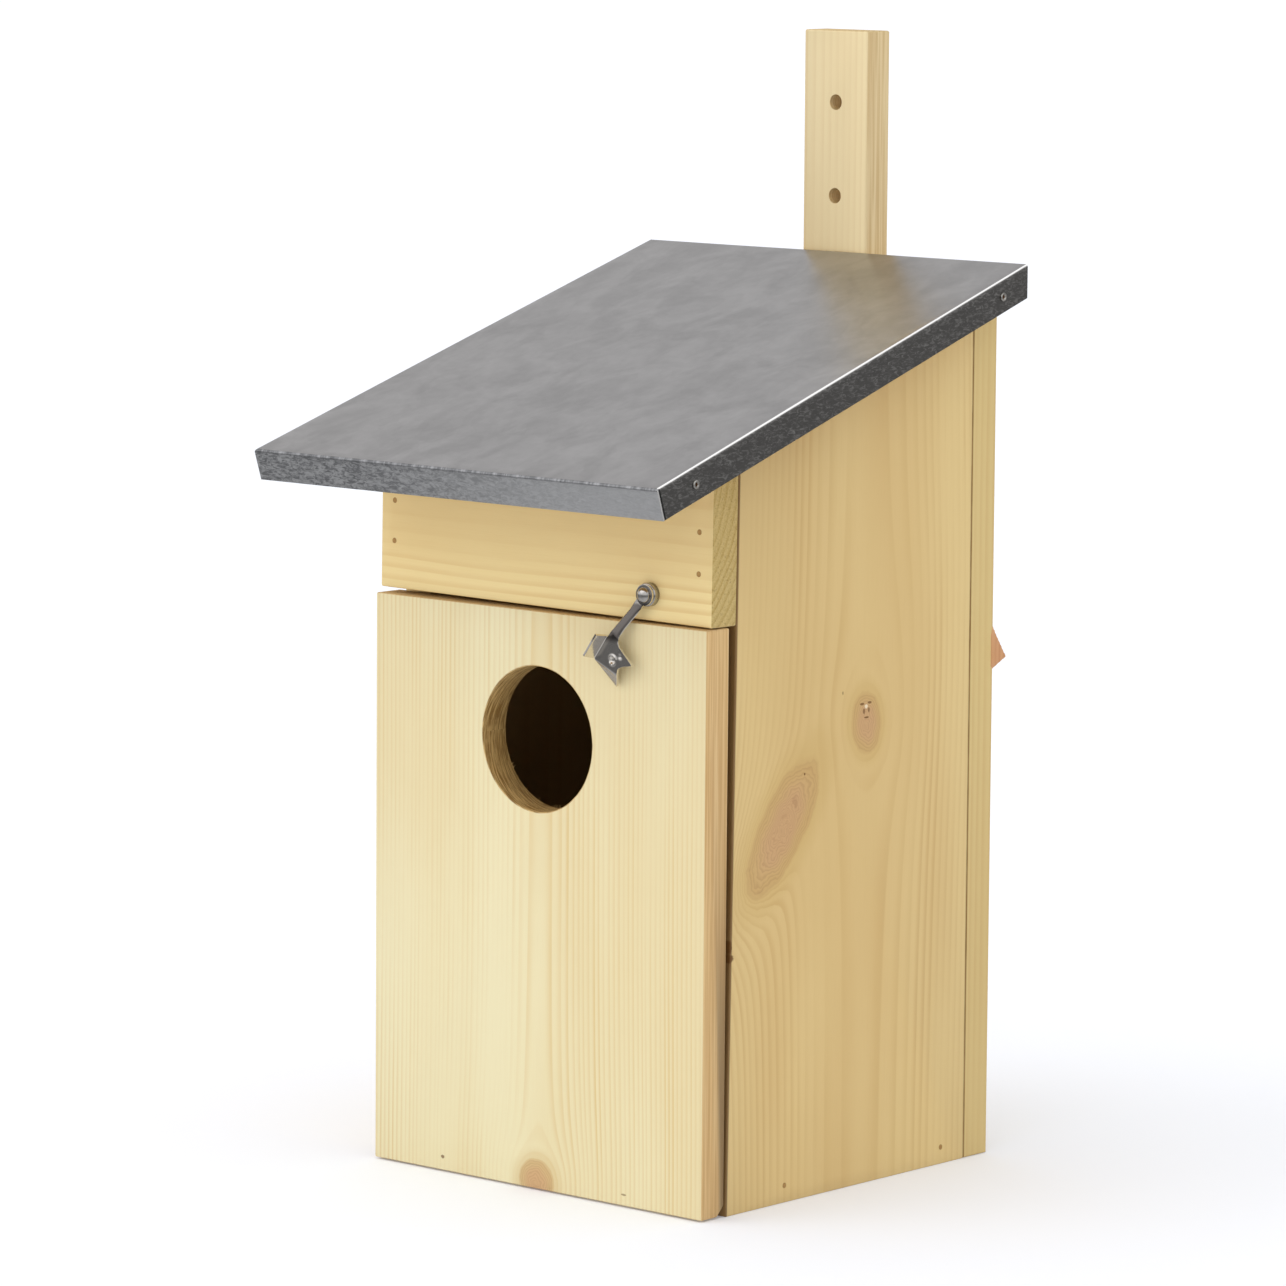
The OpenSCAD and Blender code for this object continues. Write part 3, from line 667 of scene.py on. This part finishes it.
sheet_low, sheet_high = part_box("roof_sheet")
roof_run = sheet_high.y - sheet_low.y
roof_length = roof_run / math.cos(SLOPE)
fold_up = sheet_high.z - roof_run * math.tan(SLOPE)
bend_steps = np.linspace(0, FOLD * math.pi / 2, 7)
drop_steps = np.linspace(FOLD * math.pi / 2, FLANGE - FOLD + FOLD * math.pi / 2, 9)[1:]
beyond = np.concatenate([bend_steps, drop_steps])
n_out = len(beyond) - 1
top_across, top_along = np.linspace(-1, 1, 63), np.linspace(0, 1, 61)
# Across and along the sheet: how far round a side fold, how far round the front fold
side_s = np.concatenate([beyond[:0:-1], np.zeros(len(top_across)), beyond[1:]])[None, :]
share = np.concatenate([np.full(n_out, -1.0), top_across, np.full(n_out, 1.0)])[None, :]
front_s = np.concatenate([beyond[:0:-1], np.zeros(len(top_along))])[:, None]
back = np.concatenate([np.zeros(n_out), top_along])[:, None]
side_out, side_down = turned_down(side_s, FOLD)
front_out, front_down = turned_down(front_s, FOLD)
down = side_down + front_down
# Square on, Y runs up the slope from the front fold. Where the sides turn down they stop behind
# the front flange, and the front flange spreads to the full width as it turns down.
start = FOLD + (SHEET * 1.25 - FOLD) * np.clip(side_out / FOLD, 0, 1)
finish_y = roof_length - down * math.tan(SLOPE)
y = start + (finish_y - start) * back - front_out * np.where(side_s > 0, 0, 1)
half = ROOF_HALF - np.where(share < 0, TAPER_LEFT, TAPER_RIGHT) * y / roof_length
x = share * (half - FOLD + FOLD * np.clip(front_out / FOLD, 0, 1) * (side_s == 0))
x = x + np.sign(share) * side_out
dent = (np.sin(x / 0.031 + 1.3) * np.sin(y / 0.047) + 0.6 * np.sin(x / 0.013 + y / 0.019))
z = -down - 0.05 * MM * (1.6 + dent) * (down == 0)
wave = 0.05 * MM * (1 + np.sin(y / 0.021) * np.sin(y / 0.0083 + 1))
x = x - np.sign(share) * wave * np.clip(side_down / FLANGE, 0, 1)
points = np.stack([x, sheet_low.y + y * math.cos(SLOPE) - z * math.sin(SLOPE),
                   fold_up + y * math.sin(SLOPE) + z * math.cos(SLOPE)], axis=-1)
squares = grid_faces(*x.shape)
row, column = squares[:, 0] // x.shape[1], squares[:, 0] % x.shape[1]
corner = (row < n_out) & ((column < n_out) | (column >= n_out + len(top_across) - 1))
squares = squares[~corner]
# The front fold's place along the slope, from the row frame's origin, in mm
front_plane = (sheet_low.y * math.cos(SLOPE) + fold_up * math.sin(SLOPE)) / MM


def zinc(name):
    """Galvanised sheet: cloudy grey zinc in broad patches with the edges of its crystals just
    showing, a little rougher on the folded flanges, where oil and handling have dulled it, and
    darker on the side flanges as painted shade."""
    skin = Finish(name, metal=1.0)
    x, y, z = skin.place()
    cloud = skin.noise(skin.point(x, y, z, (1 / 30, 1 / 30, 1 / 30)), 4.0, 0.55)
    fine = skin.noise(skin.point(x, y, z, (1 / 4, 1 / 4, 1 / 4)), 5.0, 0.65)
    stain = skin.noise(skin.point(x, y, z, (1 / 3.2, 1 / 3.2, 1 / 1.1)), 4.0, 0.7, warp=1.2)
    crystal = skin.cells(skin.point(x, y, z), 0.16)
    nx, ny, nz = skin.place(reading="Normal")
    broad = skin.noise(skin.point(x, y, z, (1 / 16, 1 / 26, 1 / 16)), 3.0, 0.6, warp=0.6)
    flange = nz.join("ABSOLUTE").step(0.75, 0.35)
    side = nx.join("ABSOLUTE").step(0.55, 0.9)
    front = (ny * -1).step(0.55, 0.85)
    tone = broad.step(0.3, 0.7) * 0.55 + fine.step(0.3, 0.7) * 0.25 + crystal * 0.2
    colour = skin.blend(tone, srgb(148, 147, 149), srgb(174, 173, 175))
    # The front flange is crazed at its left end and smoother and lighter to the right
    right_end = x.step(-60, 75)
    crazed = skin.blend(stain.step(0.38, 0.62), srgb(118, 120, 124), srgb(186, 188, 192))
    smooth = skin.blend(stain.step(0.2, 0.8), srgb(182, 184, 188), srgb(206, 208, 212))
    colour = skin.blend(front * 0.9, colour, skin.blend(right_end, crazed, smooth))
    # The side flanges are painted darker: painted shade, mottled with stains
    dark = skin.blend(stain.step(0.45, 0.75), srgb(116, 115, 114), srgb(176, 175, 174))
    colour = skin.blend(side, colour, dark)
    # The front fold has a painted reflection in dashes, the side folds a painted highlight, and
    # the cut edge is raw metal
    reflection_dashes = skin.noise(skin.point(x, 0.0, 0.0, (1 / 3.5, 1, 1)), 4.0, 0.75).step(0.42, 0.62)
    front_fold_reflection = nz.step(-0.25, 0.1) * nz.step(0.94, 0.86) * nx.join("ABSOLUTE").step(0.3, 0.1)
    colour = skin.blend(front_fold_reflection * 0.85, colour,
                        skin.blend(reflection_dashes, srgb(92, 93, 96), srgb(150, 151, 155)))
    side_fold_highlight = nx.join("ABSOLUTE").step(0.15, 0.35) * nx.join("ABSOLUTE").step(0.9, 0.7)
    colour = skin.blend(side_fold_highlight, colour, srgb(252, 252, 253))
    depth = y * math.cos(SLOPE) + z * math.sin(SLOPE) - front_plane
    raw = side * depth.step(0.62, 0.5)
    colour = skin.blend(raw, colour, srgb(228, 228, 228))
    # Painted shade in the corner just behind the cut edge
    colour = skin.blend(side * depth.step(0.55, 0.75) * depth.step(1.6, 1.2), colour,
                        srgb(60, 60, 60))
    rough = cloud * 0.06 + fine * 0.10 + 0.24 + raw * 0.35
    return skin.done(colour, rough + flange * 0.06, fine * 0.6 + stain * flange, 0.05)


roof_zinc = zinc("galvanised_sheet")
sheet = surface("roof_cladding", points, squares, roof_zinc)
wall = sheet.modifiers.new("thickness", "SOLIDIFY")
wall.thickness, wall.offset = SHEET, -1
crisp = sheet.modifiers.new("crisp cut edges", "BEVEL")
crisp.width, crisp.segments, crisp.angle_limit = 0.06 * MM, 2, math.radians(50)
crisp.harden_normals = True
stands_for(sheet, "house", "zinc_sheet", "roof_sheet")


def sunk_heads(node, sign, rings, name, material):
    """Nail heads turned from a profile of (radius, depth), carried round each of a node's nails
    on one side of the roof. The gaps between the nails up the slope tell them apart."""
    mesh = frame["nodes"][node].data
    spots = np.zeros(len(mesh.vertices) * 3)
    mesh.vertices.foreach_get("co", spots)
    spots = spots.reshape(-1, 3)
    spots = spots[spots[:, 0] * sign > 0]
    spots = spots[np.argsort(spots[:, 1])]
    radius, height = np.array(rings).T[:, :, None] * MM
    angle = np.linspace(0, 2 * math.pi, 33)
    parts = []
    for nail in np.split(spots, np.nonzero(np.diff(spots[:, 1]) > 5 * MM)[0] + 1):
        middle = (nail.min(axis=0) + nail.max(axis=0)) / 2
        top = nail[np.argmax(nail[:, 0] * sign), 0]
        parts.append(np.stack([top - sign * height + 0 * angle, middle[1] + radius * np.cos(angle),
                               middle[2] + radius * np.sin(angle)], axis=-1))
    return patches(name, parts, material)


# Each head is dished round a rusty middle, where the hammer's peen has sat
rust = metal("nail_rust", srgb(120, 84, 56), srgb(84, 58, 40), 0.6)
RIM = [(0.62, 0.42), (0.8, 0.16), (1.0, 0.02), (1.2, 0.0), (1.4, 0.1), (1.5, 0.3), (1.52, 0.6)]
DISH = [(0.01, 0.5), (0.3, 0.5), (0.5, 0.47), (0.62, 0.42)]
for sign, hand in ((1, "right"), (-1, "left")):
    rims = sunk_heads("sheet_nails", sign, RIM, hand + "_sheet_nail_rims",
                      metal(hand + "_nail_zinc", srgb(190, 188, 184), srgb(150, 148, 144), 0.25))
    stands_for(rims, "house", "steel", "sheet_nails")
    dishes = sunk_heads("sheet_nails", sign, DISH, hand + "_sheet_nail_middles", rust)
    stands_for(dishes, "house", "steel")

# ---- Hanging batten ----
# A planed pine batten screwed up the middle of the back. It stands above the roof with two
# drilled holes, by which the house is hung.
batten_wood = pine("batten_pine", "XYZ", (-30, 64), 2.2, srgb(236, 218, 174),
                   srgb(208, 176, 122), srgb(186, 156, 104), force=0.6,
                   side=(srgb(228, 204, 156), srgb(206, 174, 120)))
eased("hanging_batten", "batten", batten_wood, "house", "batten_pine", arris=0.7 * MM)

# ---- Torn wood ----
# A long splinter has lifted from the back's rear right edge, fibres stand in a chip on the right
# side's front edge, and the boring bit left a fringe of fibres at the back of the entrance.
SPLINTER = ((172.4, 0.0), (174.2, 1.9), (176.8, 4.7), (178.5, 3.8), (181, 2.7), (184, 1.3),
            (187.2, 0.0))   # height, and how far the splinter stands out there, in mm
torn_wood = pine("torn_pine", "XYZ", (0, 40), 1.4, srgb(212, 162, 118), srgb(182, 118, 78),
                 srgb(170, 110, 70))
back_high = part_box("back_board")[1]
up = np.linspace(SPLINTER[0][0], SPLINTER[-1][0], 60)[:, None]
out_by = np.interp(up, *np.array(SPLINTER).T) + 0.12 * np.sin(up * 3.1) * np.sin(up * 7.7)
loop = np.linspace(0, 2 * math.pi, 25)
tip_side = np.cos(loop)         # 1 at the splinter's outer edge and -1 at its root
reach_out = 0.5 * (1 + tip_side) * (out_by + 1.2) - 1.2
half_thick = 1.1 * np.sin(loop) * (1 - 0.42 * (1 + tip_side))
half_thick = half_thick * np.clip((out_by + 0.3) / 1.5, 0.1, 1)
outward, sideways_out = np.array([0.76, 0.65, 0]), np.array([-0.65, 0.76, 0])
corner_point = np.array([back_high.x, back_high.y, 0])
flake = (corner_point + MM * (reach_out[..., None] * outward + half_thick[..., None] * sideways_out
                              + (up + 0 * loop)[..., None] * np.array([0, 0, 1])))
splinter = patches("rear_splinter", [flake], torn_wood)
stands_for(splinter, "house", "board_pine")


def slivers(name, roots, tips, thick, material):
    """Torn fibres: thin cones from their roots to their tips. A share t of the way along, the
    radius is (1.02 - t) times thick, and the middle is bowed aside by 2 t (1 - t) of it."""
    t = np.linspace(0, 1, 6)[:, None]
    angle = np.linspace(0, 2 * math.pi, 5)
    parts = []
    for root, tip in zip(roots, tips):
        along = (tip - root) / np.linalg.norm(tip - root)
        one = np.cross(along, (0.3, 0.9, 0.31))
        one = one / np.linalg.norm(one)
        two = np.cross(along, one)
        centre = root + (tip - root) * t + one * (t * (1 - t)) * thick * 2
        ring = thick * (1.02 - t)[..., None] * (np.cos(angle)[:, None] * one
                                               + np.sin(angle)[:, None] * two)
        parts.append(centre[:, None, :] + ring)
    return patches(name, parts, material)


FRINGE, FIBRES = 34, 9                  # how many fibres in the entrance and in the chip
CHIP_EDGE, CHIP_FOOT, CHIP_TOP = -46.2, 86.5, 93    # where the chip is, in mm
chance = np.random.default_rng(11)
where_round = np.radians(chance.uniform(188, 352, FRINGE))
radial = np.stack([np.cos(where_round), np.zeros(FRINGE), np.sin(where_round)], axis=1)
bore_middle = np.array([0, door_high.y, BORE_UP * MM])
fringe_roots = bore_middle + radial * (BORE_RADIUS + 0.15) * MM - [0, 0.5 * MM, 0]
fringe_tips = fringe_roots - radial * chance.uniform(0.5, 1.9, (FRINGE, 1)) * MM
fringe_tips = fringe_tips + chance.normal(0, 0.35, (FRINGE, 3)) * MM * [1, 0.6, 1]
fringe = slivers("bore_fringe", fringe_roots, fringe_tips, 0.16 * MM, door_wood)
stands_for(fringe, "door", "door_pine")
chip_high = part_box("right_side")[1]
chip_roots = np.stack([chip_high.x - chance.uniform(0.2, 1.2, FIBRES) * MM,
                       np.full(FIBRES, CHIP_EDGE * MM) - chance.uniform(0.0, 0.6, FIBRES) * MM,
                       chance.uniform(CHIP_FOOT, CHIP_TOP, FIBRES) * MM], axis=1)
chip_tips = chip_roots + np.stack([chance.uniform(0.1, 0.7, FIBRES),
                                   chance.uniform(-0.3, 0.3, FIBRES),
                                   chance.uniform(0.8, 2.6, FIBRES)], axis=1) * MM
fibres = slivers("chip_fibres", chip_roots, chip_tips, 0.2 * MM, right_wood)
stands_for(fibres, "house", "board_pine")

# ---- Studio ----
# A wide white floor, one broad soft lamp high at the front left, and a pale sky that is
# brightest overhead and dim behind, as the light falls in a room.
FLOOR_REACH, BOWL_RADIUS, BOWL_FOOT, BOWL_TOP = 40.0, 30.0, -0.5, 24.0      # in metres
card = Finish("white_floor", gloss=0.0)
card.done(srgb(240, 243, 250), 1.0)
card.shader.inputs["Emission Color"].default_value = srgb(240, 245, 255)
card.shader.inputs["Emission Strength"].default_value = 0.11
floor_points = np.array([[-1, -1, 0], [1, -1, 0], [1, 1, 0], [-1, 1, 0]]) * FLOOR_REACH
floor = surface("studio_floor", floor_points, np.array([[0, 1, 2, 3]]), card.material, False)
floor.visible_glossy = False
# A wall of white paper in a circle far behind, which lights nothing and isn't mirrored
paper = Finish("white_paper", gloss=0.0)
paper.done(srgb(0, 0, 0), 1.0)
paper.shader.inputs["Emission Color"].default_value = srgb(255, 255, 255)
paper.shader.inputs["Emission Strength"].default_value = 1.1
around = np.linspace(0, 2 * math.pi, 65)
bowl_points = np.stack([np.stack([BOWL_RADIUS * np.cos(around), BOWL_RADIUS * np.sin(around),
                                  height + 0 * around], axis=-1)
                        for height in (BOWL_FOOT, BOWL_TOP)])
bowl = surface("paper_bowl", bowl_points, grid_faces(*bowl_points.shape[:2]), paper.material,
               False)
bowl.visible_glossy, bowl.visible_diffuse, bowl.visible_shadow = False, False, False
bowl.visible_transmission = False

sky = bpy.data.worlds.new("studio")
bpy.context.scene.world = sky
sky.use_nodes = True
tree = sky.node_tree
background = tree.nodes["Background"]
where = tree.nodes.new("ShaderNodeTexCoord")


def glow(direction, inner, outer, strength):
    """A soft round patch of light in the sky: full within inner degrees of its direction, and
    none beyond outer degrees."""
    dot = tree.nodes.new("ShaderNodeVectorMath")
    dot.operation = "DOT_PRODUCT"
    tree.links.new(where.outputs["Generated"], dot.inputs[0])
    dot.inputs[1].default_value = (np.array(direction) / np.linalg.norm(direction)).tolist()
    near = Amount(tree, dot.outputs["Value"])
    return near.step(math.cos(math.radians(outer)), math.cos(math.radians(inner))) * strength


apart = tree.nodes.new("ShaderNodeSeparateXYZ")
tree.links.new(where.outputs["Generated"], apart.inputs[0])
above = Amount(tree, apart.outputs["Z"]).step(-0.06, 0.02)
light = glow((0, 0, 1), 10, 75, 0.6) + glow((-0.55, -0.8, 0.35), 20, 80, 0.38)
light = light + glow((0.8, -0.6, 0.25), 15, 70, 0.25) + 0.53
table = (Amount(tree, apart.outputs["Z"]) * -1).step(0.15, 0.55) * 0.42 + 0.2
light = light * above + (above * -1 + 1) * table
tree.links.new(light.socket, background.inputs["Strength"])
background.inputs["Color"].default_value = (1.0, 0.99, 0.975, 1)

lamp = bpy.data.lights.new("soft_key", "SUN")
lamp.energy, lamp.angle, lamp.color = 0.28, math.radians(40), (1.0, 0.985, 0.96)
key = bpy.data.objects.new("soft_key", lamp)
key.rotation_euler = (math.radians(62), 0, math.radians(-35))
bpy.context.scene.collection.objects.link(key)

# The camera stands at the right of the front, a little above the roof's front edge
lens = bpy.data.cameras.new("camera")
lens.lens, lens.sensor_width, lens.clip_end = 177.23, 36, 200
camera = bpy.data.objects.new("camera", lens)
YAW, PITCH, ROLL = -41.28, -7.536, 0.354        # in degrees
STANDS_AT = (1.42983, -1.63521, 0.47062)        # in metres
yaw, pitch, roll = math.radians(YAW), math.radians(PITCH), math.radians(ROLL)
ahead = np.array([math.sin(yaw) * math.cos(pitch), math.cos(yaw) * math.cos(pitch),
                  math.sin(pitch)])
right = np.array([math.cos(yaw), -math.sin(yaw), 0])
up = np.cross(right, ahead)
axes = np.stack([right * math.cos(roll) + up * math.sin(roll),
                 up * math.cos(roll) - right * math.sin(roll), -ahead], axis=1)
turn = np.eye(4)
turn[:3, :3] = axes
turn[:3, 3] = STANDS_AT
camera.matrix_world = Matrix(turn.tolist())
bpy.context.scene.collection.objects.link(camera)
bpy.context.scene.camera = camera
bpy.context.scene.view_settings.view_transform = "Standard"
